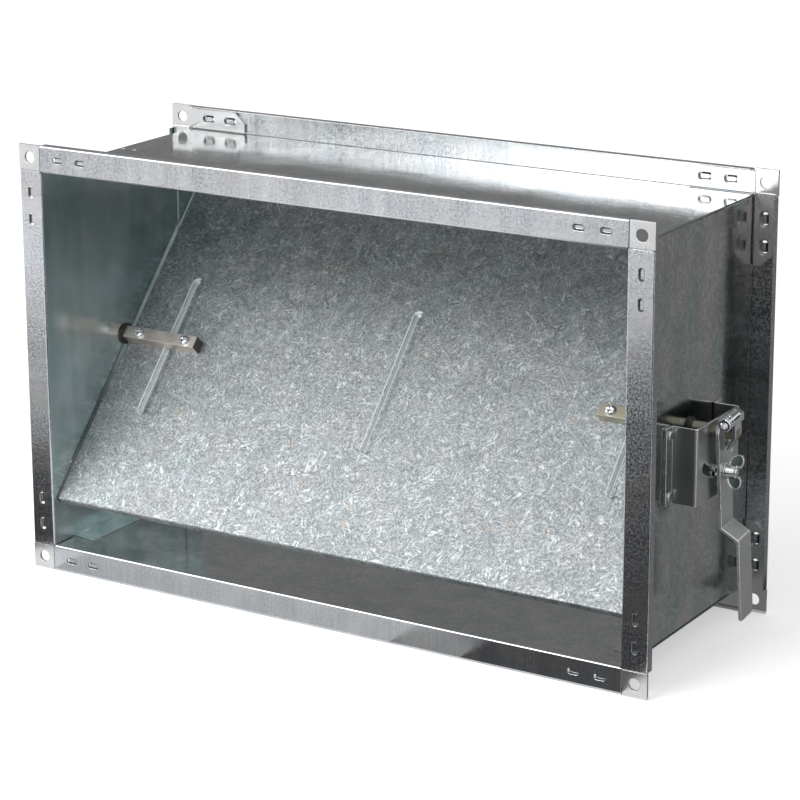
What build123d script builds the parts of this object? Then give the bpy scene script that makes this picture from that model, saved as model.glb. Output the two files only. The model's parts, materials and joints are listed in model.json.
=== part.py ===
from build123d import *
import os
from math import cos, radians, sin

# Duct shut-off damper for a rectangular duct, in millimetres.
# X runs across the duct with the hand lever on the +X side, Y runs along the air path from the
# front flange's face to the rear one, and Z is up. The origin is the centre of the front
# flange's bolt pattern, in the plane of its face.

# Duct connection
duct_width = 500.0
duct_height = 300.0
casing_depth = 200.0
flange_width = 20.0
bolt_hole_dia = 9.0
bolt_hole_inset = 10.0

# Casing sheets
casing_sheet = 1.0
wall_flange = 20.0
wall_bend = 1.2
clinch_dia = 4.5
clinch_depth = 0.6
clinch_draft = 0.4
clinch_edge = 3.5
clinch_pitch = 11.0

# Flange rails
rail_sheet = 0.8
rail_bend = 1.1
rail_leg = 25.0
rail_lip = 7.5
notch_gap = 1.0
dimple_length = 9.5
dimple_width = 4.8
dimple_depth = 1.8
dimple_slope = 32.0
dimple_first = 17.0
dimple_pitch = 21.0
dimple_slit = 1.2

# Corner pieces
corner_plate = 2.0
corner_recess = 0.2
corner_gap = 0.6
arm_length = 52.0
arm_inset = 2.0
arm_width = 16.0
arm_chamfer = 9.0
arm_root = 1.5
arm_window_gap = 1.2
sheet_slip = 0.1

# Shaft line and bushes
axis_z = 0.0
bar_side = 10.0
bar_reach = 71.0
journal_dia = 10.0
running_gap = 0.05
end_play = 0.4
square_end = 7.0
square_slip = 0.05
stub_reach = 4.0
shaft_chamfer = 0.8
bush_body_dia = 13.0
bush_flange_dia = 17.0
bush_flange_thick = 1.5
bush_reach = 3.0
bush_bead = 0.8
bush_slit = 1.2
seat_slip = 0.05

# Blade
blade_sheet = 1.2
blade_bend = 1.3
blade_side_gap = 2.0
blade_end_gap = 3.0
blade_lip = 8.0
blade_tilt = 42.4
bead_width = 9.0
bead_depth = 2.4
bead_length = 124.0
bead_beside_screw = 18.5
bead_shift = -2.0
bead_slope = 50.0

# Screws that hold the bars on the blade
screw_dia = 5.0
screw_head_dia = 8.5
screw_head_height = 2.8
screw_tip = 1.5
screw_nut_flats = 8.0
screw_nut_height = 4.0
screw_outer = 17.0
screw_pitch = 44.0
screw_slip = 0.1
drive_width = 1.2
drive_edge = 0.8
drive_depth = 1.1

# Lever bracket on the right wall
bracket_sheet = 2.0
bracket_reach = 21.0
bracket_front = 32.5
bracket_rear = 38.0
bracket_top = 9.0
bracket_bottom = 48.0
bracket_foot = 10.5
bracket_bend = 1.4
rivet_dia = 4.0
rivet_head_dia = 7.0
rivet_head_height = 1.6
rivet_tail_dia = 5.6
rivet_tail_height = 1.0
rivet_tail_chamfer = 0.6
rivet_end_gap = 6.0
head_rounding = 0.8

# Hand lever
lever_sheet = 2.5
lever_width = 20.0
lever_gap = 3.5
lever_joggle = 13.3
lever_bend_start = 71.5
lever_bend_end = 79.5
lever_length = 142.5
lever_bend = 2.0
lever_end_chamfer = 1.2
lever_lean = 7.0

# Hub clamp strap and its cross screw
strap_sheet = 2.0
strap_width = 11.0
strap_fold = 3.2
strap_bottom = 12.0
strap_straight = 1.0
strap_tip_gap = 0.6
cross_height = 10.4
cross_dia = 6.0
cross_head_dia = 10.0
cross_head_length = 6.5
cross_groove = 0.6
cross_groove_at = 2.2
cross_socket = 5.0
cross_socket_depth = 4.0
cross_nut_flats = 10.0
cross_nut_height = 5.0
cross_tip = 2.5
cross_end_chamfer = 0.8

# Locking bolt in the arc slot, its spacer, washer and wing nut
slot_radius = 29.5
slot_width = 7.5
lock_dia = 6.0
lock_slip = 0.2
lock_head_dia = 13.0
lock_head_height = 3.3
lock_neck_dia = 7.0
lock_neck_flats = 6.6
lock_end = 9.0
lock_end_chamfer = 0.6
spacer_dia = 14.0
washer_dia = 12.8
washer_thick = 1.2
slide_gap = 0.2
nut_gap = 0.1
wing_boss_dia = 10.4
wing_boss_top = 8.6
wing_boss_height = 6.2
wing_height = 10.0
wing_span = 25.4
wing_thick = 1.9
wing_root = 1.0
wing_foot = 0.8
wing_shoulder = 4.8
wing_lean = 1.2
wing_crest = 4.6
wing_rounding = 1.5
wing_turn = 16.0

# How far a cutting shape runs past the face that it cuts
overcut = 1.0

# Places that follow from the sizes above
half_width = duct_width / 2
half_height = duct_height / 2
axis_y = casing_depth / 2
wall_outer = half_width + casing_sheet
sheet_setback = max(rail_sheet + rail_bend, corner_recess + corner_plate) + sheet_slip
blade_half_width = half_width - blade_side_gap
blade_half_height = half_height - blade_end_gap
shoulder = half_width - bush_flange_thick - end_play
bar_inner_end = half_width - bar_reach
bush_end = wall_outer + bush_reach
bracket_outer = wall_outer + bracket_reach
lever_inner = bracket_outer + lever_gap
lever_outer = lever_inner + lever_sheet
blade_front = bar_side / 2
blade_back = blade_front + blade_sheet
closed_angle = lever_lean + blade_tilt
open_angle = closed_angle - 90
cross_x = lever_outer + strap_sheet + strap_fold
strap_outer = cross_x + strap_fold + strap_sheet
washer_start = lever_outer + nut_gap
nut_start = washer_start + washer_thick + nut_gap

shaft_line = Location((0, axis_y, axis_z))
blade_pose = shaft_line * Rotation(-blade_tilt, 0, 0)
lever_pose = shaft_line * Rotation(lever_lean, 0, 0)
across = Plane(origin=(0, 0, 0), x_dir=(0, 1, 0), z_dir=(1, 0, 0))


def slab(low, high):
    """Block between two opposite corners."""
    size = [top - bottom for bottom, top in zip(low, high)]
    middle = [(top + bottom) / 2 for bottom, top in zip(low, high)]
    return Pos(*middle) * Box(*size)


def folded(points, thickness, bend):
    """Section of a folded sheet whose middle runs through the points."""
    return trace(FilletPolyline(*points, radius=bend), line_width=thickness)


def x_prism(sketch, start, end):
    """Prism on a sketch whose axes are Y and Z, from one X to another."""
    return extrude(across.offset(start) * sketch, amount=end - start)


def x_rod(diameter, start, end, y=0.0, z=0.0):
    """Round rod along X."""
    return x_prism(Pos(y, z) * Circle(diameter / 2), start, end)


def y_rod(sketch, start, end, x, z):
    """Prism along Y on a sketch whose axes are Z and X."""
    plane = Plane(origin=(x, start, z), x_dir=(0, 0, 1), z_dir=(0, 1, 0))
    return extrude(plane * sketch, amount=end - start)


# Casing


def side_wall():
    """Right wall: a sheet whose top and bottom flanges are turned in between the rails."""
    half = casing_sheet / 2
    inner_end = half_width - wall_flange
    channel = folded(
        [
            (inner_end, half_height - half),
            (half_width + half, half_height - half),
            (half_width + half, half - half_height),
            (inner_end, half - half_height),
        ],
        casing_sheet,
        wall_bend,
    )
    notch = rail_leg + notch_gap
    upright = Plane(origin=(0, casing_depth - notch, 0), x_dir=(1, 0, 0), z_dir=(0, -1, 0))
    wall = extrude(upright * channel, amount=casing_depth - 2 * notch)
    for start, end in ((sheet_setback, notch), (casing_depth - notch, casing_depth - sheet_setback)):
        wall += slab((half_width, start, -half_height), (wall_outer, end, half_height))
    bore = x_rod(bush_body_dia + 2 * seat_slip, half_width - overcut, wall_outer + overcut)
    wall -= shaft_line * bore
    for sign in (-1, 1):
        for x in clinch_places():
            button = Cylinder(clinch_dia / 2, clinch_depth)
            level = half_height - casing_sheet - clinch_depth / 2
            wall += Pos(x, axis_y, sign * level) * button
    return wall


def clinch_places():
    """X of the two press joints between a wall's flange and the sheet that lies on it."""
    outer = wall_outer - clinch_edge
    return (outer, outer - clinch_pitch)


def right_wall():
    """Right wall with the holes for the bracket's rivets."""
    wall = side_wall()
    for y, z in rivet_places():
        wall -= x_rod(rivet_dia + 2 * seat_slip, half_width - overcut, wall_outer + overcut, y, z)
    return wall


def left_wall():
    """Left wall, the right wall's mirror image without the rivet holes."""
    return mirror(side_wall(), about=Plane.YZ)


def cover_sheet():
    """Top sheet, lying on both walls' flanges and pressed into them at two points each."""
    sheet = slab(
        (-wall_outer, sheet_setback, half_height),
        (wall_outer, casing_depth - sheet_setback, half_height + casing_sheet),
    )
    for sign in (-1, 1):
        for x in clinch_places():
            pit = Cone(clinch_dia / 2 - clinch_draft, clinch_dia / 2, clinch_depth)
            sheet -= Pos(sign * x, axis_y, half_height + casing_sheet - clinch_depth / 2) * pit
    return sheet


# Flange rails and corners


def dimple_places():
    """Distance of each pressed dimple from the end of its rail."""
    return (dimple_first, dimple_first + dimple_pitch)


def rail(length):
    """Flange rail along Z: local X points away from the duct and local Y runs into the casing."""
    mid = rail_sheet / 2
    section = folded(
        [
            (-mid, rail_leg),
            (-mid, mid),
            (flange_width - mid, mid),
            (flange_width - mid, rail_lip),
        ],
        rail_sheet,
        rail_bend,
    )
    body = extrude(section, amount=length / 2, both=True)
    relief = rail_sheet + corner_gap
    for sign in (-1, 1):
        end = sign * length / 2
        leg_end = Box(rail_sheet + sheet_slip, rail_leg + 2 * overcut, 2 * relief)
        body -= Pos(-mid - sheet_slip / 2, rail_leg / 2, end) * leg_end
        for distance in dimple_places():
            spot = (flange_width / 2, 0, end - sign * distance)
            body = dimpled(body, Plane(origin=spot, x_dir=(0, 0, 1), z_dir=(0, 1, 0)))
    return body


def dimpled(body, place):
    """Press an oval dimple into a rail: a bridge between its long sides, slit open at both ends."""
    outer = SlotOverall(dimple_length + 2 * rail_sheet, dimple_width + 2 * rail_sheet)
    inner = SlotOverall(dimple_length, dimple_width)
    bridge = extrude(outer, amount=dimple_depth + rail_sheet, taper=dimple_slope)
    bridge -= extrude(inner, amount=dimple_depth, taper=dimple_slope)
    bridge &= Box(dimple_length - 2 * dimple_slit, 2 * dimple_length, 2 * dimple_length)
    window = Pos(0, 0, -overcut) * extrude(inner, amount=rail_sheet + 2 * overcut)
    return body - place * window + place * bridge


def rail_on(side, rear):
    """Rail of the named side on the front or the rear flange."""
    outward = {"top": (0, 0, 1), "bottom": (0, 0, -1), "left": (-1, 0, 0), "right": (1, 0, 0)}[side]
    level = half_height if side in ("top", "bottom") else half_width
    length = duct_width if side in ("top", "bottom") else duct_height
    face = casing_depth if rear else 0.0
    inward = Vector(0, -1 if rear else 1, 0)
    origin = Vector(*outward) * level + Vector(0, face, 0)
    return Plane(origin=origin, x_dir=outward, z_dir=Vector(*outward).cross(inward)) * rail(length)


def corner_piece():
    """Bolt corner: local X and Y point away from the duct's inner corner, Z into the casing."""
    back = rail_sheet + sheet_slip
    piece = slab(
        (corner_gap, corner_gap, corner_recess),
        (flange_width, flange_width, corner_recess + corner_plate),
    )
    arm = slab(
        (-arm_length, arm_inset, back),
        (corner_gap + arm_root, arm_inset + arm_width, back + corner_plate),
    )
    far_edges = arm.edges().filter_by(Axis.Z).sort_by(Axis.X)[:2]
    arm = chamfer(far_edges.sort_by(Axis.Y)[-1], arm_chamfer)
    window = SlotOverall(dimple_length + 2 * arm_window_gap, dimple_width + 2 * arm_window_gap)
    for distance in dimple_places():
        arm -= Pos(-distance, flange_width / 2, 0) * extrude(window, amount=3 * corner_plate)
    piece += arm
    piece += mirror(arm, about=Plane(origin=(0, 0, 0), z_dir=(1, -1, 0)))
    hole = flange_width - bolt_hole_inset
    return piece - Pos(hole, hole, 0) * Cylinder(bolt_hole_dia / 2, 8 * corner_plate)


def corner_on(x_sign, z_sign, rear):
    """Corner piece of one corner of the front or the rear flange."""
    inward = -1 if rear else 1
    along_x = Vector(x_sign, 0, 0)
    along_z = Vector(0, 0, z_sign)
    first = along_x if along_x.cross(along_z).Y * inward > 0 else along_z
    origin = (x_sign * half_width, casing_depth if rear else 0.0, z_sign * half_height)
    return Plane(origin=origin, x_dir=first, z_dir=(0, inward, 0)) * corner_piece()


# Bushes and shafts


def bush():
    """Snap-in flanged bush of the right wall: flange in the duct, bead outside the wall."""
    body = x_rod(bush_body_dia, half_width - bush_flange_thick, bush_end)
    body += x_rod(bush_flange_dia, half_width - bush_flange_thick, half_width)
    bead_start = wall_outer + seat_slip
    body += x_rod(bush_body_dia + 2 * bush_bead, bead_start, bead_start + 2 * bush_bead)
    body = chamfer(body.faces().sort_by(Axis.X)[-1].outer_wire().edges(), bush_bead)
    body -= x_rod(journal_dia + 2 * running_gap, half_width - 2 * bush_flange_thick, bush_end + overcut)
    for turn in (0, 90):
        slit = slab(
            (wall_outer + bush_bead, -bush_body_dia, -bush_slit / 2),
            (bush_end + overcut, bush_body_dia, bush_slit / 2),
        )
        body -= Rotation(turn, 0, 0) * slit
    return shaft_line * body


def screw_places():
    """X of the two screws in each bar."""
    outer = half_width - screw_outer
    return (outer, outer - screw_pitch)


def bar(end):
    """Square bar on the blade's front, turned down to its journal, out to the given X."""
    square = Rectangle(bar_side, bar_side)
    body = x_prism(square, bar_inner_end, shoulder)
    body += x_rod(journal_dia, shoulder, end)
    for x in screw_places():
        hole = y_rod(Circle(screw_dia / 2 + screw_slip), -bar_side, bar_side, x, 0)
        body -= hole
    return body


def left_shaft():
    """Idle shaft: its journal ends just outside the left bush."""
    end = bush_end + stub_reach
    body = bar(end)
    body = chamfer(body.faces().sort_by(Axis.X)[-1].edges(), shaft_chamfer)
    return blade_pose * mirror(body, about=Plane.YZ)


def right_shaft():
    """Driven shaft: through the bush and the bracket, then milled square for the lever."""
    driven = x_prism(Rectangle(square_end, square_end), lever_inner, strap_outer - shaft_chamfer / 2)
    driven = chamfer(driven.faces().sort_by(Axis.X)[-1].edges(), shaft_chamfer / 2)
    return blade_pose * bar(lever_inner) + lever_pose * driven


def square_hole(start, end):
    """Hole that fits the shaft's milled end."""
    side = square_end + 2 * square_slip
    return x_prism(Rectangle(side, side), start, end)


# Blade


def blade_x(sketch, depth):
    """Pressing on the blade, from its front face towards the rear, on a sketch in X and Z."""
    plane = Plane(origin=(0, blade_front, 0), x_dir=(1, 0, 0), z_dir=(0, 1, 0))
    return extrude(plane * sketch, amount=depth, taper=bead_slope)


def blade():
    """Folded blade with return lips at both ends and three pressed stiffening beads."""
    mid = blade_front + blade_sheet / 2
    end = blade_half_height - blade_sheet / 2
    lip = blade_front + blade_lip
    section = folded([(lip, -end), (mid, -end), (mid, end), (lip, end)], blade_sheet, blade_bend)
    plate = x_prism(section, -blade_half_width, blade_half_width)
    ridge = bead_width + blade_sheet
    outer_bead = screw_places()[1] + bead_beside_screw
    for x in (-outer_bead, 0, outer_bead):
        place = Pos(x, -bead_shift) * Rot(0, 0, 90)
        plate += blade_x(place * SlotOverall(bead_length + blade_sheet, ridge), blade_sheet + bead_depth)
        plate -= blade_x(place * SlotOverall(bead_length, bead_width), bead_depth)
    for x in screw_places():
        for sign in (-1, 1):
            hole = Circle(screw_dia / 2 + screw_slip)
            plate -= y_rod(hole, blade_front - overcut, blade_back + overcut, sign * x, 0)
    return blade_pose * plate


def shaft_screw(x):
    """Round-headed screw through bar and blade."""
    shank = y_rod(Circle(screw_dia / 2), -blade_front, blade_back + screw_nut_height + screw_tip, x, 0)
    head = y_rod(Circle(screw_head_dia / 2), -blade_front - screw_head_height, -blade_front, x, 0)
    rim = head.faces().sort_by(Axis.Y)[0].edges()
    head = fillet(rim, screw_head_height * head_rounding)
    top = -blade_front - screw_head_height
    arm = screw_head_dia / 2 - drive_edge
    drive = slab((-drive_width / 2, top - overcut, -arm), (drive_width / 2, top + drive_depth, arm))
    cross = Pos(x, 0, 0) * Rotation(0, 90, 0) * drive
    drive = Pos(x, 0, 0) * drive
    return blade_pose * (head + shank - drive - cross)


def hex_nut(flats, height, bore):
    """Hexagon nut with a plain bore, on the XY plane."""
    face = RegularPolygon(flats / 2, 6, major_radius=False) - Circle(bore / 2)
    return extrude(face, amount=height)


def shaft_nut(x):
    """Nut behind the blade."""
    plane = Plane(origin=(x, blade_back, 0), x_dir=(1, 0, 0), z_dir=(0, 1, 0))
    bore = screw_dia + 2 * seat_slip
    return blade_pose * (plane * hex_nut(screw_nut_flats, screw_nut_height, bore))


def each_screw(make):
    """One solid for each of the four screws, as a group."""
    places = [sign * x for sign in (-1, 1) for x in screw_places()]
    return Compound(children=[make(x).solid() for x in places])


# Lever bracket


def rivet_places():
    """Y and Z of the four rivets, in the middle of the bracket's feet."""
    front = axis_y - bracket_front - (bracket_foot - bracket_sheet) / 2
    rear = axis_y + bracket_rear + (bracket_foot - bracket_sheet) / 2
    heights = (axis_z + bracket_top - rivet_end_gap, axis_z - bracket_bottom + rivet_end_gap)
    return [(y, z) for y in (front, rear) for z in heights]


def arc_slot():
    """Slot in which the locking bolt travels, from the open to the closed end."""
    path = CenterArc((0, 0), slot_radius, open_angle - 90, 90)
    return SlotArc(path, slot_width)


def lever_bracket():
    """Hat-shaped bracket, open at top and bottom, with the lever's arc slot."""
    half = bracket_sheet / 2
    foot_x = wall_outer + half
    plate_x = bracket_outer - half
    front = axis_y - bracket_front + half
    rear = axis_y + bracket_rear - half
    section = folded(
        [
            (foot_x, front - bracket_foot),
            (foot_x, front),
            (plate_x, front),
            (plate_x, rear),
            (foot_x, rear),
            (foot_x, rear + bracket_foot),
        ],
        bracket_sheet,
        bracket_bend,
    )
    low = axis_z - bracket_bottom
    hat = Pos(0, 0, low) * extrude(section, amount=bracket_bottom + bracket_top)
    inside = bracket_outer - 2 * bracket_sheet
    hat -= shaft_line * x_rod(journal_dia + 2 * running_gap, inside, bracket_outer + overcut)
    hat -= shaft_line * x_prism(arc_slot(), inside, bracket_outer + overcut)
    for y, z in rivet_places():
        bore = x_rod(rivet_dia + 2 * seat_slip, wall_outer - overcut, wall_outer + 2 * bracket_sheet, y, z)
        hat -= bore
    return hat


def bracket_rivet(y, z):
    """Rivet with its dome on the bracket's foot and its closed tail in the duct."""
    seat = wall_outer + bracket_sheet
    shank = x_rod(rivet_dia, half_width, seat)
    dome = x_rod(rivet_head_dia, seat, seat + rivet_head_height)
    dome = fillet(dome.faces().sort_by(Axis.X)[-1].edges(), rivet_head_height * head_rounding)
    tail = x_rod(rivet_tail_dia, half_width - rivet_tail_height, half_width)
    tail = chamfer(tail.faces().sort_by(Axis.X)[0].edges(), rivet_tail_chamfer)
    return Pos(0, y, z) * (shank + dome + tail)


def bracket_rivets():
    """The four rivets as a group."""
    return Compound(children=[bracket_rivet(y, z).solid() for y, z in rivet_places()])


# Hand lever and hub clamp


def hand_lever():
    """Flat strip, round at the shaft, joggled outwards to its grip."""
    near = lever_inner + lever_sheet / 2
    far = near + lever_joggle
    path = [
        (near, lever_width),
        (near, -lever_bend_start),
        (far, -lever_bend_end),
        (far, -lever_length),
    ]
    side = Plane(origin=(0, 0, 0), x_dir=(1, 0, 0), z_dir=(0, -1, 0))
    strip = extrude(side * folded(path, lever_sheet, lever_bend), amount=lever_width / 2, both=True)
    outline = Pos(0, -lever_length / 2) * Rectangle(lever_width, lever_length)
    low_corners = outline.vertices().sort_by(Axis.Y)[:2]
    outline = chamfer(low_corners, lever_end_chamfer) + Circle(lever_width / 2)
    lever = strip & x_prism(outline, lever_inner - overcut, far + lever_sheet)
    lever -= square_hole(lever_inner - overcut, lever_outer + overcut)
    bore = x_rod(lock_dia + 2 * lock_slip, lever_inner - overcut, lever_outer + overcut)
    lever -= Pos(0, 0, -slot_radius) * bore
    return lever_pose * lever


def hub_clamp():
    """Strap folded over the cross screw, with both legs on the shaft's milled end."""
    half = strap_sheet / 2
    inner_leg = lever_outer + half
    outer_leg = strap_outer - half
    turn = strap_fold + half
    tip = inner_leg + strap_sheet + strap_tip_gap
    top = cross_height
    rise = Line((inner_leg, -strap_bottom), (inner_leg, top))
    fold = CenterArc((cross_x, top), turn, 180, -180)
    fall = FilletPolyline(
        (outer_leg, top),
        (outer_leg, -strap_straight),
        (tip, half - strap_bottom),
        radius=strap_fold,
    )
    side = Plane(origin=(0, 0, 0), x_dir=(1, 0, 0), z_dir=(0, -1, 0))
    section = trace(Curve() + [rise, fold, fall], line_width=strap_sheet)
    strap = extrude(side * section, amount=strap_width / 2, both=True)
    strap -= square_hole(lever_outer - overcut, strap_outer + overcut)
    return lever_pose * strap


def clamp_screw():
    """Cap screw across the strap's fold, with a grooved head and a hexagon socket."""
    front = -strap_width / 2
    end = strap_width / 2 + cross_nut_height + cross_tip
    shank = y_rod(Circle(cross_dia / 2), front, end, cross_x, cross_height)
    shank = chamfer(shank.faces().sort_by(Axis.Y)[-1].edges(), cross_end_chamfer)
    face = front - cross_head_length
    head = y_rod(Circle(cross_head_dia / 2), face, front, cross_x, cross_height)
    head = chamfer(head.faces().sort_by(Axis.Y)[0].edges(), cross_groove)
    ring = Circle(cross_head_dia / 2 + overcut) - Circle(cross_head_dia / 2 - cross_groove)
    groove_start = face + cross_groove_at
    head -= y_rod(ring, groove_start, groove_start + cross_groove, cross_x, cross_height)
    socket = RegularPolygon(cross_socket / 2, 6, major_radius=False)
    head -= y_rod(socket, face - overcut, face + cross_socket_depth, cross_x, cross_height)
    return lever_pose * (head + shank)


def clamp_nut():
    """Nut on the cross screw, one flat parallel to the lever."""
    plane = Plane(origin=(cross_x, strap_width / 2, cross_height), x_dir=(0, 0, 1), z_dir=(0, 1, 0))
    nut = plane * hex_nut(cross_nut_flats, cross_nut_height, cross_dia + 2 * seat_slip)
    return lever_pose * nut


# Locking bolt and wing nut, at the slot's radius straight below the shaft in the lever's frame


def lock_bolt():
    """Cup-headed bolt: head inside the bracket, neck with two flats in the slot."""
    inner_face = bracket_outer - bracket_sheet
    seat = inner_face - slide_gap
    head = x_rod(lock_head_dia, seat - lock_head_height, seat)
    head = fillet(head.faces().sort_by(Axis.X)[0].edges(), lock_head_height * head_rounding)
    neck_shape = Circle(lock_neck_dia / 2) & Rectangle(lock_neck_dia, lock_neck_flats)
    neck = x_prism(neck_shape, seat, bracket_outer)
    end = lever_outer + lock_end
    shank = x_rod(lock_dia, seat, end)
    shank = chamfer(shank.faces().sort_by(Axis.X)[-1].edges(), lock_end_chamfer)
    return lever_pose * Pos(0, 0, -slot_radius) * (head + neck + shank)


def ring_at(diameter, start, end, bore):
    """Flat ring on the locking bolt."""
    ring = x_rod(diameter, start, end) - x_rod(bore, start - overcut, end + overcut)
    return lever_pose * Pos(0, 0, -slot_radius) * ring


def lock_spacer():
    """Spacer between the bracket and the lever."""
    return ring_at(spacer_dia, bracket_outer + slide_gap, lever_inner, lock_dia + 2 * lock_slip)


def wing_washer():
    """Washer under the wing nut."""
    return ring_at(washer_dia, washer_start, washer_start + washer_thick, lock_dia + 2 * running_gap)


def wing_nut():
    """Wing nut: a conical boss with two flared wings."""
    base = (Align.CENTER, Align.CENTER, Align.MIN)
    boss = Cone(wing_boss_dia / 2, wing_boss_top / 2, wing_boss_height, align=base)
    reach = wing_span / 2
    root = wing_boss_top / 2 - wing_root
    saddle = wing_boss_height - wing_foot
    outline = Polyline(
        (root, wing_foot),
        (wing_boss_dia / 2, wing_foot),
        (reach - wing_lean, wing_shoulder),
        (reach, wing_height - wing_root),
        (reach - wing_crest, wing_height),
        (wing_boss_top / 2 + wing_root, saddle),
        (root, saddle),
        close=True,
    )
    face = make_face(outline)
    rounded = face.vertices().sort_by(Axis.X)[-4:]
    face = fillet(rounded, wing_rounding)
    upright = Plane(origin=(0, 0, 0), x_dir=(1, 0, 0), z_dir=(0, -1, 0))
    wing = extrude(upright * face, amount=wing_thick / 2, both=True)
    nut = boss + wing + mirror(wing, about=Plane.YZ)
    nut -= Cylinder(lock_dia / 2 + running_gap, 6 * wing_height)
    turned = Plane(origin=(nut_start, 0, 0), x_dir=(0, 0, 1), z_dir=(1, 0, 0)) * nut
    place = lever_pose * Pos(0, 0, -slot_radius) * Rotation(-lever_lean - wing_turn, 0, 0)
    return place * turned


# Every node's solid, by name


def all_nodes():
    """Build every piece."""
    nodes = {
        "casing_top": cover_sheet(),
        "casing_bottom": mirror(cover_sheet(), about=Plane.XY),
        "casing_left": left_wall(),
        "casing_right": right_wall(),
        "bush_left": mirror(bush(), about=Plane.YZ),
        "bush_right": bush(),
        "lever_bracket": lever_bracket(),
        "bracket_rivets": bracket_rivets(),
        "blade": blade(),
        "shaft_left": left_shaft(),
        "shaft_right": right_shaft(),
        "shaft_screws": each_screw(shaft_screw),
        "shaft_nuts": each_screw(shaft_nut),
        "hand_lever": hand_lever(),
        "hub_clamp": hub_clamp(),
        "clamp_screw": clamp_screw(),
        "clamp_nut": clamp_nut(),
        "lock_bolt": lock_bolt(),
        "lock_spacer": lock_spacer(),
        "wing_washer": wing_washer(),
        "wing_nut": wing_nut(),
    }
    for flange in ("front", "rear"):
        rear = flange == "rear"
        for side in ("top", "bottom", "left", "right"):
            nodes[f"{flange}_rail_{side}"] = rail_on(side, rear)
        for z_sign, height in ((1, "top"), (-1, "bottom")):
            for x_sign, side in ((-1, "left"), (1, "right")):
                nodes[f"{flange}_corner_{height}_{side}"] = corner_on(x_sign, z_sign, rear)
    return nodes


os.makedirs("parts", exist_ok=True)
for node, solid in all_nodes().items():
    export_step(solid, f"parts/{node}.step")
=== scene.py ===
import json
from math import cos, pi, radians, sin

import bpy
from mathutils import Matrix, Quaternion, Vector


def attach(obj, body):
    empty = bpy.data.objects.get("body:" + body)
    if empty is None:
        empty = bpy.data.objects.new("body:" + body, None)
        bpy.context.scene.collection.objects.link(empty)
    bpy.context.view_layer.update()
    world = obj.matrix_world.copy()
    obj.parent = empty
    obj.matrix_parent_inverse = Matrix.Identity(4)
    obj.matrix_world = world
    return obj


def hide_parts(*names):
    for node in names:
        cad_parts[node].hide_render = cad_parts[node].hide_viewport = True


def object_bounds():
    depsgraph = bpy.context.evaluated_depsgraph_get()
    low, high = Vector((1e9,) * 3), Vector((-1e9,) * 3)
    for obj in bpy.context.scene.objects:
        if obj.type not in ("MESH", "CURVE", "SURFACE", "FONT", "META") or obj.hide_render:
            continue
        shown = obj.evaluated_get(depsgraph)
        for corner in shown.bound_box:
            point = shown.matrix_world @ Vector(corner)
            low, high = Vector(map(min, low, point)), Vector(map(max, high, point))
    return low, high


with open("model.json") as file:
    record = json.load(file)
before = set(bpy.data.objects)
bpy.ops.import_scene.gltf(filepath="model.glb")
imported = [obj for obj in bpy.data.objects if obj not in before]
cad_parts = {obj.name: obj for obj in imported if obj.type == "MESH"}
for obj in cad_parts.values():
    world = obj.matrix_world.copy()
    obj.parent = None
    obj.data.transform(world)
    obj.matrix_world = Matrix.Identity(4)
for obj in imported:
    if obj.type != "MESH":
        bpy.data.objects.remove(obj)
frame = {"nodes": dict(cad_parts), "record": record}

# Duct shut-off damper, in metres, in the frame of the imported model: X across the duct with the
# hand lever on +X, Y along the air path, Z up.

cad_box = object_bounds()

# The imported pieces' bodies and material slots
behaviour = frame["record"]["behaviour"]
body_of = {node: body for body, nodes in behaviour["bodies"].items() for node in nodes}
slot_of = {part["node"]: part["material_slot"] for part in frame["record"]["subparts"]}

# The damper's middle, on the shaft's line
damper_middle = Vector((0.0, 0.1, 0.0))

# Blade: the way its front faces, the way it rises, and the places and sizes of its beads
blade_tilt = radians(42.4)
blade_facing = Vector((0.0, -cos(blade_tilt), sin(blade_tilt)))
blade_rise = Vector((0.0, sin(blade_tilt), cos(blade_tilt)))
bead_places = (-0.2075, 0.0, 0.2075)
bead_middle = -0.002
bead_half_width = 0.0056
bead_half_length = 0.0632
bead_rounding = 0.0014

# Rails, across and up from the damper's middle: the outsides of their legs, the legs' cut ends,
# and where their faces begin
leg_outside_x, leg_outside_z = 0.2508, 0.1508
leg_end_x, leg_end_z = 0.2488, 0.1488
face_start_x, face_start_z = 0.2515, 0.1515

# Rails' dimples: the band of the face that holds them, and how deep their slopes begin
dimple_band = (0.002, 0.015)
dimple_skin = 0.0002

# Walls' corners past the notches for the rails, along and up from the damper's middle
wall_corner_y, wall_corner_z = 0.0722, 0.147

# Left shaft's shoulder at its bush
left_shoulder_x = 0.2481
shoulder_slack = 0.0003

# How far the pieces' edges are eased, by their slots
edge_easing = {
    "sheet_zinc": 0.0002,
    "rail_zinc": 0.0002,
    "corner_zinc": 0.00025,
    "black_nylon": 0.0002,
    "bracket_zinc": 0.0004,
    "rivet_steel": 0.0001,
    "spangled_zinc": 0.0004,
    "yellow_zinc": 0.00015,
    "bright_zinc": 0.0002,
    "lever_zinc": 0.0004,
    "bright_plate": 0.00025,
}
easing_steps = 2

# Slots whose edges get a near-white finish, a painted highlight, and slots whose flat faces stay as they
# were packed
highlit_edge_slots = ("lever_zinc", "bracket_zinc")
unjoined_slots = ("corner_zinc", "yellow_zinc")

# Edges at least this sharp, in degrees, are rounded; flatter ones than the last are shaded smooth
sharp_edge = 35.0
sharp_bead_edge = 30.0
smooth_below = 40.0
flat_below = 0.6

# A face is square on to an axis when its normal's share along it passes this
square_on = 0.9
hair = 0.0001

# Wing nut: its seat on the washer, the way its wings point, its boss and its bore
nut_seat = Vector((0.2794, 0.1036, -0.0293))
wing_way = Vector((0.0, 0.2756, 0.9613))
nut_out = Vector((1.0, 0.0, 0.0))
boss_height = 0.0062
boss_foot_radius = 0.0056
boss_top_radius = 0.0044
bore_radius = 0.00305

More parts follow.
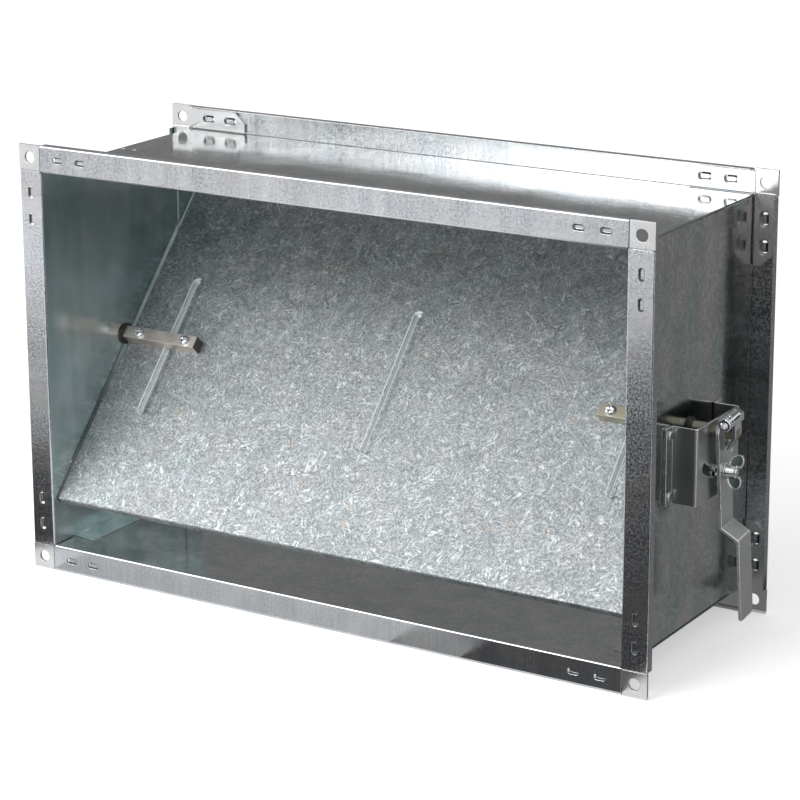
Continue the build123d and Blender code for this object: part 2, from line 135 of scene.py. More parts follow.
# Wing nut's ears: where their middles sit, their lean, and the sizes of lobe, rim and dish
ear_reach, ear_rise = 0.0062, 0.0060
ear_lean = radians(30.0)
ear_half_length, ear_half_height, ear_thickness = 0.0068, 0.0050, 0.0023
ear_rim = 0.0006
dish_slope, dish_depth = 0.0004, 0.0006
dish_start, dish_half_depth = 0.0045, 0.0009
nut_voxel = 0.00017

# Camera that took the photograph, worked out from the two flanges' corners
camera_place = Vector((1.0737, -1.6257, 0.5784))
camera_yaw = radians(-31.679)
camera_pitch = radians(-14.718)
camera_roll = radians(-0.254)
camera_lens = 125.64
camera_sensor = 36.0
camera_shift = -0.1

# Studio: the floor, the light that it and the background send out, and the cards' heights on it
floor_reach = 9.0
floor_colour = (0.86, 0.86, 0.865)
floor_glow = 0.45
world_light = 0.55
card_lift = 0.002
upper_card_lift = 0.004
black = (0.0, 0.0, 0.0)
white = (1.0, 1.0, 1.0)


# Shader maths


class Wire:
    """One output in a node tree. Arithmetic on it adds Math nodes."""

    def __init__(self, tree, socket):
        self.tree = tree
        self.socket = socket

    def __add__(self, other):
        return self.tree.math("ADD", self, other)

    def __sub__(self, other):
        return self.tree.math("SUBTRACT", self, other)

    def __rsub__(self, other):
        return self.tree.math("SUBTRACT", other, self)

    def __mul__(self, other):
        return self.tree.math("MULTIPLY", self, other)

    __radd__ = __add__
    __rmul__ = __mul__


class Nodes:
    """The nodes of a material or of the world."""

    def __init__(self, owner):
        owner.use_nodes = True
        self.nodes = owner.node_tree.nodes
        self.links = owner.node_tree.links

    def node(self, kind, settings=None, sockets=None, output=0):
        """Add a node: its settings first, then the values or wires of its sockets."""
        made = self.nodes.new(kind)
        for name, value in (settings or {}).items():
            if name == "stops":
                self.fill_ramp(made.color_ramp, value)
            else:
                setattr(made, name, value)
        for name, value in (sockets or {}).items():
            self.feed(made.inputs[name], value)
        return Wire(self, made.outputs[output])

    def feed(self, socket, value):
        """Give a socket a constant, or join a wire to it."""
        if isinstance(value, Wire):
            self.links.new(value.socket, socket)
        else:
            socket.default_value = value

    def fill_ramp(self, ramp, stops):
        """Set a colour ramp's stops from pairs of a position and a grey."""
        while len(ramp.elements) < len(stops):
            ramp.elements.new(1.0)
        for element, (position, grey) in zip(ramp.elements, stops):
            element.position = position
            element.color = (grey, grey, grey, 1.0)

    def math(self, operation, first, second):
        """One Math node on two values or wires."""
        return self.node("ShaderNodeMath", {"operation": operation}, {0: first, 1: second})

    def mixed(self, share, first, second):
        """Blend of two colours; a colour Mix node has them on sockets 6 and 7, and gives output 2."""
        sockets = {0: share, 6: self.colour(first), 7: self.colour(second)}
        settings = {"data_type": "RGBA", "clamp_factor": True}
        return self.node("ShaderNodeMix", settings, sockets, output=2)

    def colour(self, value):
        """A wire as it is, or a constant colour with its alpha."""
        return value if isinstance(value, Wire) else (*value, 1.0)

    def seen_directly(self):
        """1 for camera, glossy and transmission rays, for a background that metal shows too."""
        camera, glossy, through = (
            self.node("ShaderNodeLightPath", output=f"Is {ray} Ray")
            for ray in ("Camera", "Glossy", "Transmission")
        )
        return self.math("MAXIMUM", self.math("MAXIMUM", camera, glossy), through)


class Finish(Nodes):
    """A material in the making: its shader, and the patterns that feed it."""

    def __init__(self, name, constants):
        """Start from a shader with these constants on its own sockets."""
        self.material = bpy.data.materials.new(name)
        super().__init__(self.material)
        self.shader = self.nodes["Principled BSDF"]
        for socket, value in constants.items():
            self.feed(self.shader.inputs[socket], value)
        self.place = self.node("ShaderNodeTexCoord", output="Object")

    def noise(self, size, detail=2.0, roughness=0.5, at=None, distortion=0.0):
        """Soft noise from 0 to 1 with features of the given size."""
        shape = {"Scale": 1.0 / size, "Detail": detail, "Roughness": roughness, "Distortion": distortion}
        return self.node("ShaderNodeTexNoise", {}, {"Vector": at or self.place, **shape})

    def stretched(self, scale, at=None, turn=(0.0, 0.0, 0.0)):
        """The coordinates with each axis multiplied, for patterns that run one way."""
        sockets = {"Vector": at or self.place, "Scale": scale, "Rotation": turn}
        return self.node("ShaderNodeMapping", {}, sockets)

    def ramp(self, wire, *stops):
        """Redraw a value through the stops of a ramp."""
        return self.node("ShaderNodeValToRGB", {"stops": stops}, {"Fac": wire})

    def scaled(self, colour, amount):
        """A colour times a value."""
        return self.node("ShaderNodeVectorMath", {"operation": "SCALE"}, {0: colour, "Scale": amount})

    def grains(self, size, ragged, shift=0.0):
        """Zinc grains: the random colour of each cell, on edges made ragged by noise.

        The noise moves all three axes by the same amount, and the shift adds to it.
        """
        noise = {"Vector": self.place, "Scale": 1.6 / size}
        drift = self.node("ShaderNodeTexNoise", {}, noise, output="Color")
        mean = {0: drift, 1: (1 / 3, 1 / 3, 1 / 3)}
        push = self.node("ShaderNodeVectorMath", {"operation": "DOT_PRODUCT"}, mean, output="Value")
        moved = {0: self.place, 1: (push - 0.5) * (2 * size * ragged) + shift}
        at = self.node("ShaderNodeVectorMath", {"operation": "ADD"}, moved)
        return self.node("ShaderNodeTexVoronoi", {}, {"Vector": at, "Scale": 1.0 / size}, output="Color")

    def grain_share(self, cell, channel):
        """A random value from 0 to 1 for each grain: one channel of its colour."""
        return self.node("ShaderNodeSeparateColor", {}, {0: cell}, output=channel)

    def needles(self, cell, facing, width, length, share=0.35):
        """Crystal needles in the plane of a sheet, another way in each grain: 1 on a needle."""
        turn = {"Vector": self.place, "Axis": facing, "Angle": self.grain_share(cell, "Blue") * (4 * pi)}
        turned = self.node("ShaderNodeVectorRotate", {}, turn)
        slim = width / length
        along = (1.0, slim, 1.0) if facing[0] else (slim, 1.0, 1.0)
        grain = self.noise(width * 2, at=self.stretched(along, at=turned), distortion=0.3)
        edge = 0.62 - share * 0.30
        softness = 0.07
        return self.ramp(grain, (edge - softness, 0.0), (edge + softness, 1.0))

    def done(self, colour, roughness, bump, bump_height):
        """Join the patterns to the shader and return the material."""
        normal = self.node("ShaderNodeBump", {}, {"Height": bump, "Distance": bump_height})
        patterns = {"Base Color": colour, "Roughness": roughness, "Normal": normal}
        for socket, pattern in patterns.items():
            self.feed(self.shader.inputs[socket], pattern)
        return self.material


# Finishes


def metal(name):
    """A bare or plated metal's finish."""
    return Finish(name, {"Metallic": 1.0})


def spangled_zinc():
    """Blade: galvanised sheet with a clear spangle of fine crossing needles."""
    f = metal("spangled_zinc")
    cell = f.grains(0.006, ragged=0.6)
    level = f.grain_share(cell, "Red") - 0.5
    flakes = f.needles(f.grains(0.007, ragged=0.7, shift=0.17), blade_facing, 0.0009, 0.0034, share=0.1)
    long_needles = f.needles(cell, blade_facing, 0.0006, 0.0022, share=0.25)
    short_cell = f.grains(0.0035, ragged=0.5, shift=0.31)
    short_needles = f.needles(short_cell, blade_facing, 0.0005, 0.0010, share=0.35)
    speckle = f.noise(0.0013, detail=3.0, roughness=0.7) - 0.5
    cloud = f.noise(0.035, detail=3.0, roughness=0.6) - 0.5
    clumps = f.ramp(f.noise(0.012), (0.42, 0.35), (0.62, 1.4))
    strokes = long_needles * 0.34 + short_needles * 0.32 + flakes * clumps * 0.55
    tone = 0.68 + strokes + speckle * 1.1 + level * 0.22 + cloud * 0.3
    hue = f.noise(0.03, at=f.stretched((1.0, 1.0, 1.0), turn=(0.4, 0.9, 0.2)))
    cool = f.ramp(hue, (0.42, 0.0), (0.58, 1.0))
    warm = f.ramp(f.noise(0.014), (0.65, 0.0), (0.74, 0.8))
    tint = f.mixed(cool, (0.275, 0.30, 0.308), (0.292, 0.305, 0.315))
    tint = f.mixed(warm, tint, (0.315, 0.30, 0.28))
    roughness = 0.62 - strokes * 0.08 + speckle * 0.1 + level * 0.1
    return f.done(f.scaled(tint, tone), roughness, strokes, bump_height=0.00003)


def sheet_zinc(name, facing, tints, roughness, clearness, stains=1.0):
    """Casing sheets: smooth galvanised sheet with a faint spangle and soft stains."""
    f = metal(name)
    strokes = f.needles(f.grains(0.010, ragged=0.5), facing, 0.0010, 0.006) - 0.35
    fine = f.noise(0.0012) - 0.5
    blotch = f.noise(0.05, detail=3.0, roughness=0.6)
    streak = f.noise(0.02, detail=3.0, at=f.stretched((1.0, 1.0, 0.25)))
    spangle = strokes * 0.10 + fine * 0.35
    tone = 1.0 + spangle * clearness + ((blotch - 0.5) * 0.4 + (streak - 0.5) * 0.6) * stains
    tint = f.mixed(f.ramp(streak, (0.4, 0.0), (0.62, 1.0)), *tints)
    wave = f.noise(0.09, detail=1.0)
    rough = roughness + spangle * 0.2 + (blotch - 0.5) * 0.10
    return f.done(f.scaled(tint, tone), rough, wave + strokes * 0.01, bump_height=0.0010)


def rail_zinc(along, mottle):
    """Flange rails: satin rolled strip with fine lines across its length, and some dark mottle."""
    f = metal(f"rail_zinc_{along}")
    band_axes = {"x": (1.0, 0.06, 0.06), "z": (0.06, 0.06, 1.0)}[along]
    bands = f.noise(0.016, detail=3.0, roughness=0.6, at=f.stretched(band_axes)) - 0.5
    lines = f.noise(0.0013, at=f.stretched(band_axes)) - 0.5
    grit = f.noise(0.0018, detail=4.0, roughness=0.75)
    specks = f.ramp(grit, (0.44, 0.0), (0.56, 1.0)) - 0.5
    fine = f.noise(0.0010) - 0.5
    patches = f.ramp(f.noise(0.03, detail=3.0), (0.40, 0.2), (0.6, 1.0))
    tone = 1.0 + bands * 0.3 + lines * 0.3 + fine * 0.35 + specks * patches * mottle
    tint = f.mixed(patches, (0.44, 0.445, 0.45), (0.385, 0.40, 0.42))
    roughness = 0.20 + bands * 0.1 + specks * 0.08
    return f.done(f.scaled(tint, tone), roughness, specks * 0.3 + fine + bands, bump_height=0.00002)


def corner_zinc():
    """Bolt corners: flat pressed plate, fine and even."""
    f = metal("corner_zinc")
    fine = f.noise(0.0015) - 0.5
    cloud = f.noise(0.02) - 0.5
    colour = f.scaled((0.50, 0.505, 0.51), 1.0 + fine * 0.18 + cloud * 0.2)
    return f.done(colour, 0.27 + cloud * 0.1, fine, bump_height=0.00003)


def bracket_zinc():
    """Lever bracket: dull folded sheet with rolling streaks."""
    f = metal("bracket_zinc")
    streak = f.noise(0.006, detail=3.0, at=f.stretched((1.0, 1.0, 0.12)))
    cloud = f.noise(0.03, detail=3.0) - 0.5
    colour = f.scaled((0.50, 0.51, 0.51), 1.0 + (streak - 0.5) * 0.2 + cloud * 0.25)
    return f.done(colour, 0.30 + cloud * 0.15, streak, bump_height=0.00003)


def lever_zinc():
    """Hand lever: zinc-plated strip, brushed along its length."""
    f = metal("lever_zinc")
    brush = f.noise(0.0012, detail=3.0, at=f.stretched((1.0, 1.0, 0.04)))
    cloud = f.noise(0.02, detail=3.0) - 0.5
    colour = f.scaled((0.58, 0.60, 0.59), 1.0 + (brush - 0.5) * 0.3 + cloud * 0.25)
    return f.done(colour, 0.32 + cloud * 0.12, brush, bump_height=0.00003)


def yellow_zinc(name, first_tint, second_tint):
    """Shafts: drawn bar with a thin brownish passivation, and drawn lines along it."""
    f = metal(name)
    drawn = f.noise(0.0008, at=f.stretched((0.05, 1.0, 1.0)))
    cloud = f.noise(0.012, detail=3.0)
    tone = 1.0 + (drawn - 0.5) * 0.35 + (cloud - 0.5) * 0.3
    tint = f.mixed(f.ramp(cloud, (0.35, 0.0), (0.65, 1.0)), first_tint, second_tint)
    return f.done(f.scaled(tint, tone), 0.34 + (cloud - 0.5) * 0.15, drawn, bump_height=0.00004)


def plated(name, colour, roughness):
    """Plated small parts, darker ends, and plain finishes that are painted shade and painted highlights,
    with faint smears.
    """
    f = metal(name)
    smear = f.noise(0.006, detail=3.0) - 0.5
    fine = f.noise(0.0008) - 0.5
    tone = 1.0 + smear * 0.22 + fine * 0.08
    return f.done(f.scaled(colour, tone), roughness + smear * 0.08, fine, bump_height=0.00001)


def black_nylon():
    """Bushes: moulded nylon with a fine grain."""
    f = Finish("black_nylon", {})
    fine = f.noise(0.0006)
    colour = f.scaled((0.022, 0.022, 0.024), 0.8 + f.noise(0.004) * 0.4)
    return f.done(colour, 0.42 + (fine - 0.5) * 0.2, fine, bump_height=0.00003)


def finishes():
    """Every finish by its name; rails and sheets have one for each direction."""
    up, across = (0.0, 0.0, 1.0), (1.0, 0.0, 0.0)
    # The walls' tints are painted reflection colour: a bright teal on the left wall, which is also
    # painted light, and a slightly warm grey on the right wall.
    right_wall_painted_tints = (0.385, 0.435, 0.435), (0.46, 0.45, 0.435)
    even_tints = (0.41, 0.44, 0.44), (0.44, 0.445, 0.435)
    left_wall_painted_tints = (0.56, 0.70, 0.71), (0.62, 0.71, 0.71)
    made = {
        "spangled_zinc": spangled_zinc(),
        "sheet_zinc_level": sheet_zinc("sheet_zinc_level", up, even_tints, 0.11, 1.4, stains=0.45),
        "sheet_zinc_left": sheet_zinc("sheet_zinc_left", across, left_wall_painted_tints, 0.22, 0.25),
        "sheet_zinc_right": sheet_zinc("sheet_zinc_right", across, right_wall_painted_tints, 0.16, 2.4, stains=0.6),
        "rail_zinc_x": rail_zinc("x", 0.15),
        "rail_zinc_z": rail_zinc("z", 0.48),
        "corner_zinc": corner_zinc(),
        "bracket_zinc": bracket_zinc(),
        "lever_zinc": lever_zinc(),
        "yellow_zinc": yellow_zinc("yellow_zinc", (0.74, 0.62, 0.58), (0.70, 0.64, 0.58)),
        # A darker copy of the shafts' finish: painted shade on the right shaft between the wall and the
        # bracket.
        "shaded_yellow_zinc": yellow_zinc("shaded_yellow_zinc", (0.38, 0.35, 0.27), (0.31, 0.30, 0.24)),
        "black_nylon": black_nylon(),
    }
    # Of these, the pale bead finish and the near-white edge finish are painted highlights, and the dark
    # dimple, blade-end and dish finishes are painted shade.
    for name, colour, roughness in (
        ("bead_highlight", (0.62, 0.66, 0.67), 0.8),
        ("dimple_shade", (0.13, 0.135, 0.14), 0.35),
        ("gap_shade", (0.15, 0.12, 0.12), 0.5),
        ("edge_highlight", (0.92, 0.93, 0.94), 0.27),
        ("nut_plate", (0.56, 0.60, 0.59), 0.2),
        ("dish_shade", (0.15, 0.18, 0.18), 0.22),
        ("dark_shaft_end", (0.22, 0.19, 0.18), 0.5),
        ("rivet_steel", (0.55, 0.55, 0.56), 0.28),
        ("bright_zinc", (0.68, 0.69, 0.71), 0.2),
        ("bright_plate", (0.74, 0.75, 0.77), 0.12),
    ):
        made[name] = plated(name, colour, roughness)
    return made


# Small tools


def deselect_all():
    """Leave nothing selected."""
    for thing in bpy.context.selected_objects:
        thing.select_set(False)
    bpy.context.view_layer.objects.active = None


def pick(piece):
    """Make one piece the only selected and active one."""
    deselect_all()
    bpy.context.view_layer.objects.active = piece
    piece.select_set(True)


def pick_faces(piece, wanted):
    """Open a piece for editing with only the wanted faces selected."""
    pick(piece)
    bpy.ops.object.mode_set(mode="EDIT")
    bpy.ops.mesh.select_mode(type="FACE")
    bpy.ops.mesh.select_all(action="DESELECT")
    bpy.ops.object.mode_set(mode="OBJECT")
    for face in piece.data.polygons:
        face.select = wanted(face)
    bpy.ops.object.mode_set(mode="EDIT")


def pick_edges(piece, wanted, sharp):
    """Open a piece for editing with the wanted ones of its sharp edges selected, and no others."""
    pick(piece)
    bpy.ops.object.mode_set(mode="EDIT")
    bpy.ops.mesh.select_mode(type="EDGE")
    bpy.ops.mesh.select_all(action="DESELECT")
    bpy.ops.mesh.edges_select_sharp(sharpness=radians(sharp))
    bpy.ops.object.mode_set(mode="OBJECT")
    mesh = piece.data
    chosen = [edge for edge in mesh.edges if edge.select]
    for part in (*mesh.polygons, *mesh.edges, *mesh.vertices):
        part.select = False
    for edge in chosen:
        ends = [mesh.vertices[index] for index in edge.vertices]
        if wanted(*(end.co for end in ends)):
            for part in (edge, *ends):
                part.select = True
    bpy.ops.object.mode_set(mode="EDIT")


def apply_modifier(piece, kind, **settings):
    """Add a modifier with its settings and apply it."""
    pick(piece)
    modifier = piece.modifiers.new(kind.lower(), kind)
    for name, value in settings.items():
        setattr(modifier, name, value)
    bpy.ops.object.modifier_apply(modifier=modifier.name)


def add_finishes(piece, *materials):
    """Give a piece more finishes, after those that it has."""
    for material in materials:
        piece.data.materials.append(material)


def paint(piece, *materials):
    """Give a piece its finishes in place of those that it came with."""
    indices = [face.material_index for face in piece.data.polygons]
    piece.data.materials.clear()
    add_finishes(piece, *materials)
    last = len(materials) - 1
    for face, index in zip(piece.data.polygons, indices):
        face.material_index = min(index, last)


# Studio


def add_camera():
    """The photograph's camera."""
    lens = bpy.data.cameras.new("photo_camera")
    lens.lens = camera_lens
    lens.sensor_width = camera_sensor
    lens.shift_y = camera_shift
    lens.clip_end = 100.0
    camera = bpy.data.objects.new("photo_camera", lens)
    bpy.context.scene.collection.objects.link(camera)
    forward = Vector((
        sin(camera_yaw) * cos(camera_pitch),
        cos(camera_yaw) * cos(camera_pitch),
        sin(camera_pitch),
    ))
    level_right = Vector((cos(camera_yaw), -sin(camera_yaw), 0.0))
    level_up = level_right.cross(forward)
    right = level_right * cos(camera_roll) + level_up * sin(camera_roll)
    up = level_up * cos(camera_roll) - level_right * sin(camera_roll)
    turn = Matrix((right, up, -forward)).transposed()
    camera.matrix_world = Matrix.Translation(camera_place) @ turn.to_4x4()
    bpy.context.scene.camera = camera


def add_softbox(name, place, width, height, power):
    """Soft rectangular lamp that faces the damper and that the camera doesn't see."""
    lamp = bpy.data.lights.new(name, "AREA")
    lamp.shape = "RECTANGLE"
    lamp.size = width
    lamp.size_y = height
    lamp.energy = power
    box = bpy.data.objects.new(name, lamp)
    box.visible_camera = False
    bpy.context.scene.collection.objects.link(box)
    box.location = place
    box.rotation_euler = (damper_middle - Vector(place)).to_track_quat("-Z", "Y").to_euler()


def add_flag(name, place, target, width, height, tone, spin=0.0):
    """Dark card that only reflections see, as photographers set one beside bright metal."""
    deselect_all()
    facing = Vector(target) - Vector(place)
    turn = (facing.to_track_quat("Z", "Y") @ Quaternion((0.0, 0.0, 1.0), spin)).to_euler()
    bpy.ops.mesh.primitive_plane_add(size=1.0, location=place, rotation=turn)
    card = bpy.context.active_object
    card.name = name
    card.scale = (width, height, 1.0)
    material = bpy.data.materials.new(name)
    card_nodes = Nodes(material)
    glow = card_nodes.node("ShaderNodeEmission", {}, {"Color": (tone, tone, tone, 1.0)})
    card_nodes.feed(card_nodes.nodes["Material Output"].inputs["Surface"], glow)
    paint(card, material)
    for ray in ("camera", "diffuse", "transmission", "volume_scatter", "shadow"):
        setattr(card, f"visible_{ray}", False)


def add_floor_shade_card(name, middle, length, width, tone, spin=0.0, lift=card_lift):
    """Card that lies on the floor, turned by so many degrees: painted shadow on the floor where it is
    dark, painted light where it is pale.
    """
    level = cad_box[0][2] + lift
    add_flag(name, (*middle, level), (*middle, 1.0), length, width, tone, spin=radians(spin))


def add_floor():
    """Plain pale floor that keeps the object's shadow."""
    deselect_all()
    place = (0, 0, cad_box[0][2])
    bpy.ops.mesh.primitive_circle_add(vertices=64, radius=floor_reach, fill_type="NGON", location=place)
    floor = bpy.context.active_object
    floor.name = "studio_floor"
    f = Finish("pale_floor", {
        "Base Color": (*floor_colour, 1.0),
        "Roughness": 0.9,
        "Specular IOR Level": 0.1,
        "Emission Strength": floor_glow,
    })
    f.feed(f.shader.inputs["Emission Color"], f.mixed(f.seen_directly(), black, white))
    paint(floor, f.material)


def add_world():
    """White background, and a quieter level that lights the object."""
    world = bpy.data.worlds.new("studio")
    bpy.context.scene.world = world
    sky = Nodes(world)
    levels = {"Factor": sky.seen_directly(), "A": world_light, "B": 1.0}
    back = sky.nodes["Background"]
    sky.feed(back.inputs["Color"], (*white, 1.0))
    sky.feed(back.inputs["Strength"], sky.node("ShaderNodeMix", {}, levels, output="Result"))


def add_studio():
    """Floor, background, lamps, flags and camera."""
    add_floor()
    add_world()
    add_softbox("key_softbox", (-1.1, -2.55, 1.68), width=2.6, height=1.5, power=78.0)
    add_softbox("side_softbox", (-2.1, -1.1, 1.75), width=1.3, height=1.3, power=20.0)
    add_softbox("strip_softbox", (-0.9, -2.6, 0.7), width=1.1, height=0.5, power=12.0)
    add_softbox("top_softbox", (-1.4, -0.7, 2.2), width=2.6, height=2.2, power=1.5)

    # Cards on the floor that the flanges' rails and corners mirror: the dark ones painted shadow on the
    # floor, the pale ones painted light
    add_floor_shade_card("front_flag", (0.35, -0.345), length=0.54, width=0.60, tone=0.08)
    add_floor_shade_card("lip_flag", (0.185, -0.025), length=0.13, width=0.05, tone=0.12)
    add_floor_shade_card("rail_flag", (0.08, -0.5), length=0.9, width=0.36, tone=0.11, spin=63.6)
    add_floor_shade_card("corner_flag", (-0.39, -0.145), length=0.3, width=0.12, tone=0.06, spin=50.5)
    add_floor_shade_card("left_flag", (-0.65, -0.47), length=0.54, width=0.25, tone=0.64, spin=50.5)
    add_floor_shade_card("near_flag", (-0.095, -0.025), length=0.31, width=0.05, tone=0.94)
    add_floor_shade_card("step_flag", (0.09, -0.025), length=0.06, width=0.05, tone=0.5)
    add_floor_shade_card("far_flag", (-0.5, -1.4), length=0.92, width=0.6, tone=0.7)
    add_floor_shade_card("farther_flag", (-1.33, -1.4), length=0.74, width=0.6, tone=0.5)

    # Cards on the floor that the walls and the rear flange mirror, beside and behind the damper: painted
    # shadow on the floor
    add_floor_shade_card("wall_flag", (0.85, -0.75), length=1.0, width=1.1, tone=0.05, lift=upper_card_lift)
    add_floor_shade_card("sill_flag", (0.0, 0.36), length=0.6, width=0.28, tone=0.06, lift=upper_card_lift)
    add_floor_shade_card("side_flag", (0.85, 1.1), length=3.1, width=2.2, tone=0.26)

    # Leaning cards behind the damper
    add_flag("back_flag", (-1.4, 2.3, 1.15), damper_middle, width=4.0, height=1.5, tone=0.25)
    add_flag("low_flag", (1.3, 2.6, 0.4), damper_middle, width=2.4, height=1.1, tone=0.08)
    add_flag("lever_flag", (0.4, 2.2, 1.5), (0.3, 0.1, 0.0), width=1.7, height=1.3, tone=0.14)
    add_camera()
    bpy.context.scene.view_settings.view_transform = "Standard"


# Easing


def is_upright(node):
    """True for the left and right rails and walls, false for the top and bottom ones."""
    return node.endswith(("left", "right"))


def can_be_eased(node):
    """Test for a piece's edges: false where a cut end is hidden and too narrow to be rounded."""
    upright = is_upright(node)

    def wide_enough(first, second):
        x, y, z = (abs(length) for length in (first + second) / 2 - damper_middle)
        if "rail" in node and upright:
            return not (x < leg_outside_x and z > leg_end_z)
        if "rail" in node:
            return not (x > leg_end_x and z < leg_outside_z)
        if node.startswith("casing"):
            return not (upright and y > wall_corner_y and z > wall_corner_z)
        if node == "shaft_left":
            return abs(x - left_shoulder_x) > shoulder_slack
        return True

    return wide_enough


def above_bead_middle(point):
    """How far up the blade a point lies from the middle of its beads."""
    return (point - damper_middle).dot(blade_rise) - bead_middle


def beside_bead(point, place):
    """True where a point lies no farther than its edge from the bead at this place."""
    return abs(point.x - place) < bead_half_width


def round_beads(piece):
    """Round the rims and floors of the blade's pressed beads."""

    def on_bead(*ends):
        depths = [(end - damper_middle).dot(blade_facing) for end in ends]
        if abs(depths[0] - depths[1]) > hair / 10:
            return False
        if any(abs(above_bead_middle(end)) > bead_half_length for end in ends):
            return False
        return any(all(beside_bead(end, place) for end in ends) for place in bead_places)

    pick_edges(piece, on_bead, sharp_bead_edge)
    bpy.ops.mesh.bevel(offset=bead_rounding, segments=3)
    bpy.ops.object.mode_set(mode="OBJECT")


def eased(node, joined, highlit_edges):
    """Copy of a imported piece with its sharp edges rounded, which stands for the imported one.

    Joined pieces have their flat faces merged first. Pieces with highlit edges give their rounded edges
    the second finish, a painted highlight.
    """
    source = frame["nodes"][node]
    piece = bpy.data.objects.new(f"{node}_eased", source.data.copy())
    bpy.context.scene.collection.objects.link(piece)
    pick(piece)
    bpy.ops.object.mode_set(mode="EDIT")
    bpy.ops.mesh.select_all(action="SELECT")
    bpy.ops.mesh.remove_doubles(threshold=1e-6)
    if joined:
        bpy.ops.mesh.select_all(action="SELECT")
        bpy.ops.mesh.dissolve_limited(angle_limit=radians(flat_below))
    bpy.ops.object.mode_set(mode="OBJECT")
    if highlit_edges:
        while len(piece.data.materials) < 2:
            piece.data.materials.append(None)
    if node == "blade":
        round_beads(piece)
    pick_edges(piece, can_be_eased(node), sharp_edge)
    radius = edge_easing[slot_of[node]]
    bpy.ops.mesh.bevel(offset=radius, segments=easing_steps, material=1 if highlit_edges else -1)
    bpy.ops.object.mode_set(mode="OBJECT")
    bpy.ops.object.shade_smooth_by_angle(angle=radians(smooth_below))
    apply_modifier(piece, "WEIGHTED_NORMAL", keep_sharp=True)
    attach(piece, body_of[node])
    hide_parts(node)
    return piece


# Wing nut


def add_ear(nut, side):
    """One ear of the wing nut: a lobe that leans outward, dished on both faces, joined to the boss."""
    place = (side * ear_reach, 0.0, ear_rise)
    turn = (pi / 2, -side * ear_lean, 0.0)
    bpy.ops.mesh.primitive_cylinder_add(
        vertices=64, radius=1.0, depth=ear_thickness, location=place, rotation=turn
    )
    ear = bpy.context.active_object
    ear.scale = (ear_half_length, ear_half_height, 1.0)
    bpy.ops.object.transform_apply(location=False, rotation=False, scale=True)
    pick_faces(ear, lambda face: abs(face.normal.z) > square_on)
    bpy.ops.mesh.inset(thickness=ear_rim, depth=0.0)
    bpy.ops.mesh.inset(thickness=dish_slope, depth=-dish_depth)
    bpy.ops.object.mode_set(mode="OBJECT")
    deselect_all()
    for part in (ear, nut):
        part.select_set(True)
    bpy.context.view_layer.objects.active = nut
    bpy.ops.object.join()


def bore_nut(nut):
    """Open the nut's bore where the bolt goes through."""
    bpy.ops.mesh.primitive_cylinder_add(vertices=48, radius=bore_radius, depth=0.03)
    drill = bpy.context.active_object
    apply_modifier(nut, "BOOLEAN", operation="DIFFERENCE", object=drill, solver="EXACT")
    bpy.data.objects.remove(drill)


def add_wing_nut(made):
    """Wing nut with a tapered boss and two dished ears with a rim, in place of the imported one."""
    deselect_all()
    middle = (0, 0, boss_height / 2)
    bpy.ops.mesh.primitive_cone_add(
        vertices=64, radius1=boss_foot_radius, radius2=boss_top_radius, depth=boss_height, location=middle
    )
    nut = bpy.context.active_object
    nut.name = "wing_nut_formed"
    for side in (1, -1):
        add_ear(nut, side)
    bpy.ops.object.transform_apply(location=True, rotation=True, scale=True)
    apply_modifier(nut, "REMESH", mode="VOXEL", voxel_size=nut_voxel)
    apply_modifier(nut, "SMOOTH", factor=0.5, iterations=4)
    bore_nut(nut)
    nut.data.materials.clear()
    across = nut_out.cross(wing_way)
    turn = Matrix((wing_way, across, nut_out)).transposed()
    nut.matrix_world = Matrix.Translation(nut_seat) @ turn.to_4x4()
    pick(nut)
    bpy.ops.object.transform_apply(location=True, rotation=True, scale=True)
    bpy.ops.object.shade_smooth()
    add_finishes(nut, made["nut_plate"], made["dish_shade"])
    # The floors of the ears' dishes get the dark finish: painted shade in the recesses.
    for face in nut.data.polygons:
        offset = face.center - nut_seat
        on_ear = abs(offset.dot(wing_way)) > dish_start and abs(face.normal.dot(across)) > square_on
        if on_ear and abs(offset.dot(across)) < dish_half_depth:
            face.material_index = 1
    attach(nut, body_of["wing_nut"])
    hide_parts("wing_nut")


# Finishing


def sheet_finish(node):
    """Name of the casing sheet's finish on the side of a rail or wall."""
    return f"sheet_zinc_{node.split('_')[-1]}" if is_upright(node) else "sheet_zinc_level"


def finish_of(node):
    """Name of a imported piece's finish."""
    slot = slot_of[node]
    if slot == "rail_zinc":
        return "rail_zinc_z" if is_upright(node) else "rail_zinc_x"
    if slot == "sheet_zinc":
        return sheet_finish(node)
    # The right shaft takes the darker copy, which is painted shade.
    return "shaded_yellow_zinc" if node == "shaft_right" else slot


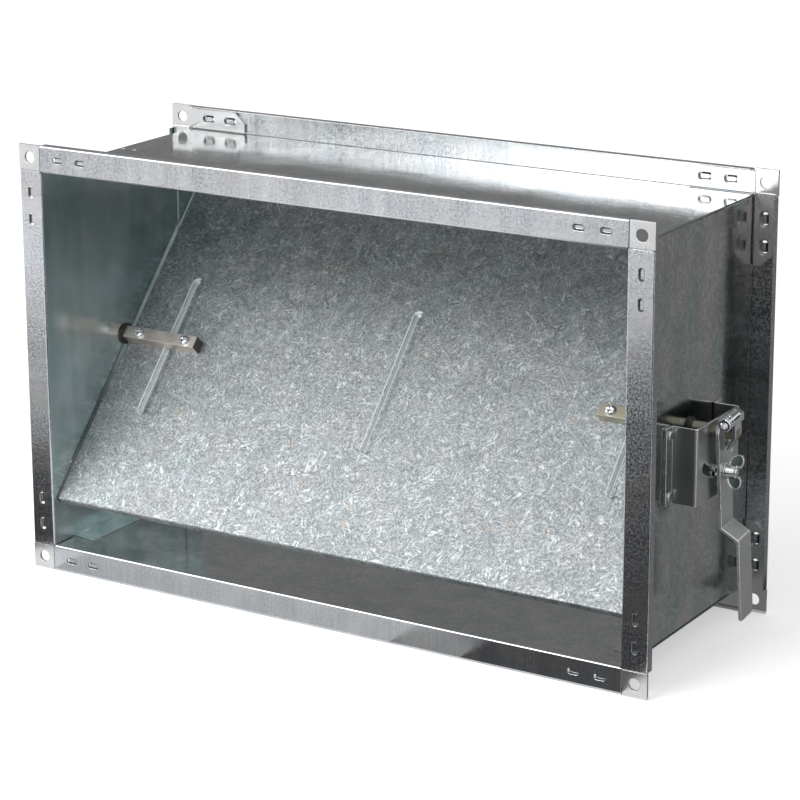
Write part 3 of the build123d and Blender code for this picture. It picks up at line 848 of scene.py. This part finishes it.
def finish_rail(piece, node, made):
    """Finish a rail's leg like the sheet that it lies on, and paint shade on its dimples' slopes.

    The dark slopes stand for the dark bands that the dimples show in the photograph.
    """
    add_finishes(piece, made[sheet_finish(node)], made["dimple_shade"])
    axis, face_start = (0, face_start_x) if is_upright(node) else (2, face_start_z)
    for face in piece.data.polygons:
        across = abs(face.center[axis]) - face_start
        depth = min(face.center.y, 2 * damper_middle.y - face.center.y)
        if across < 0.0 and abs(face.normal[axis]) > square_on:
            face.material_index = 1
        elif dimple_band[0] < across < dimple_band[1]:
            if depth > dimple_skin and abs(face.normal.y) < square_on:
                face.material_index = 2


def finish_dark_shaft_end(piece, made):
    """Give a shaft's free end a darker finish."""
    add_finishes(piece, made["dark_shaft_end"])
    inmost = min(abs(corner.co.x) for corner in piece.data.vertices)
    for face in piece.data.polygons:
        if abs(face.center.x) < inmost + hair and abs(face.normal.x) > square_on:
            face.material_index = 1


def finish_blade(piece, made):
    """Give the blade's cut ends a dark finish, painted shade for the gap beside the walls, and lighten
    its beads' slopes on one side with a painted highlight.

    The lighter slopes stand for the light bands that the beads show in the photograph.
    """
    add_finishes(piece, made["gap_shade"], made["bead_highlight"])
    outmost = max(abs(corner.co.x) for corner in piece.data.vertices)
    for face in piece.data.polygons:
        near_bead = any(beside_bead(face.center, place) for place in bead_places)
        along_bead = abs(above_bead_middle(face.center)) < bead_half_length
        slope = face.normal.dot(blade_facing)
        if abs(face.center.x) > outmost - hair and abs(face.normal.x) > square_on:
            face.material_index = 1
        elif near_bead and along_bead and face.normal.x > -0.1 and 0.3 < slope < 0.97:
            face.material_index = 2


def dress_nodes():
    """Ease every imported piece's edges and give it its finish."""
    made = finishes()
    add_wing_nut(made)
    for node, slot in slot_of.items():
        if node == "wing_nut":
            continue
        highlit_edges = slot in highlit_edge_slots
        piece = eased(node, joined=slot not in unjoined_slots, highlit_edges=highlit_edges)
        if highlit_edges:
            paint(piece, made[finish_of(node)], made["edge_highlight"])
            continue
        paint(piece, made[finish_of(node)])
        if slot == "rail_zinc":
            finish_rail(piece, node, made)
        elif slot == "yellow_zinc":
            finish_dark_shaft_end(piece, made)
        elif node == "blade":
            finish_blade(piece, made)


add_studio()
dress_nodes()
